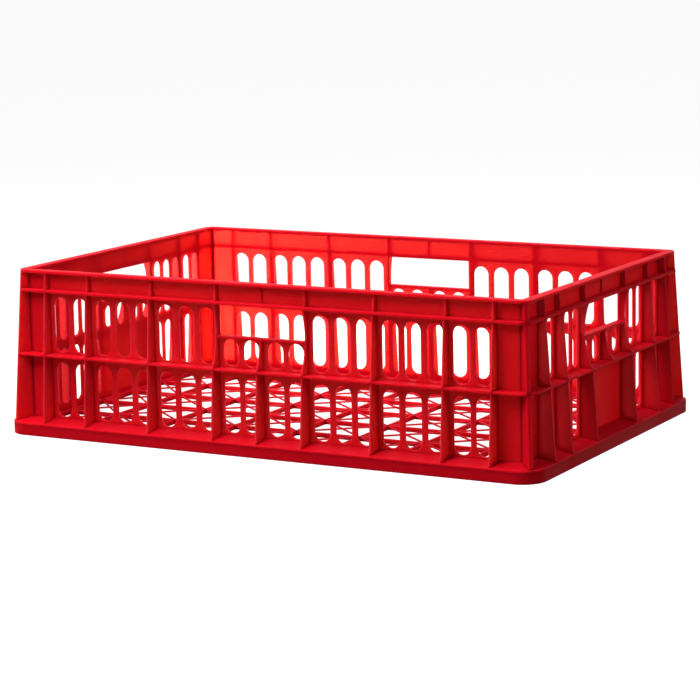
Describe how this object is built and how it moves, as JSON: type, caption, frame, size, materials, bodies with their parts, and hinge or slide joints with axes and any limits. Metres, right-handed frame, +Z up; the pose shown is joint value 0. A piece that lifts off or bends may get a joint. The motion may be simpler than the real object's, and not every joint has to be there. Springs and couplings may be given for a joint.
{
  "type": "perforated plastic crate",
  "caption": "Low stacking crate in red plastic with slotted walls, hand-holes on all sides and an open grid floor, for picking and carrying fruit.",
  "frame": {"origin": "bottom centre of the crate, on the ground plane", "axes": "+X along the long walls towards the right end, -Y out of the front wall, +Z up"},
  "size_m": [0.6, 0.4, 0.17],
  "materials": {
    "red_plastic": "satin, slightly translucent"
  },
  "bodies": {
    "root": {"floor_grid": "red_plastic", "front_left_corner_post": "red_plastic", "front_left_corner_skirt": "red_plastic", "front_right_corner_post": "red_plastic", "front_right_corner_skirt": "red_plastic", "front_wall_base_ledge": "red_plastic", "front_wall_handle_panel": "red_plastic", "front_wall_handle_sill": "red_plastic", "front_wall_left_panel": "red_plastic", "front_wall_left_ribs": "red_plastic", "front_wall_mid_ledge": "red_plastic", "front_wall_right_panel": "red_plastic", "front_wall_right_ribs": "red_plastic", "front_wall_rim_band": "red_plastic", "front_wall_rim_lip": "red_plastic", "front_wall_skirt": "red_plastic", "front_wall_upper_ledge": "red_plastic", "left_end_base_ledge": "red_plastic", "left_end_front_panel": "red_plastic", "left_end_front_ribs": "red_plastic", "left_end_handle_panel": "red_plastic", "left_end_handle_sill": "red_plastic", "left_end_mid_ledge": "red_plastic", "left_end_rear_panel": "red_plastic", "left_end_rear_ribs": "red_plastic", "left_end_rim_band": "red_plastic", "left_end_rim_lip": "red_plastic", "left_end_skirt": "red_plastic", "left_end_upper_ledge": "red_plastic", "rear_left_corner_post": "red_plastic", "rear_left_corner_skirt": "red_plastic", "rear_right_corner_post": "red_plastic", "rear_right_corner_skirt": "red_plastic", "rear_wall_base_ledge": "red_plastic", "rear_wall_handle_panel": "red_plastic", "rear_wall_handle_sill": "red_plastic", "rear_wall_left_panel": "red_plastic", "rear_wall_left_ribs": "red_plastic", "rear_wall_mid_ledge": "red_plastic", "rear_wall_right_panel": "red_plastic", "rear_wall_right_ribs": "red_plastic", "rear_wall_rim_band": "red_plastic", "rear_wall_rim_lip": "red_plastic", "rear_wall_skirt": "red_plastic", "rear_wall_upper_ledge": "red_plastic", "right_end_base_ledge": "red_plastic", "right_end_front_panel": "red_plastic", "right_end_front_ribs": "red_plastic", "right_end_handle_panel": "red_plastic", "right_end_handle_sill": "red_plastic", "right_end_mid_ledge": "red_plastic", "right_end_rear_panel": "red_plastic", "right_end_rear_ribs": "red_plastic", "right_end_rim_band": "red_plastic", "right_end_rim_lip": "red_plastic", "right_end_skirt": "red_plastic", "right_end_upper_ledge": "red_plastic"}
  },
  "joints": []
}
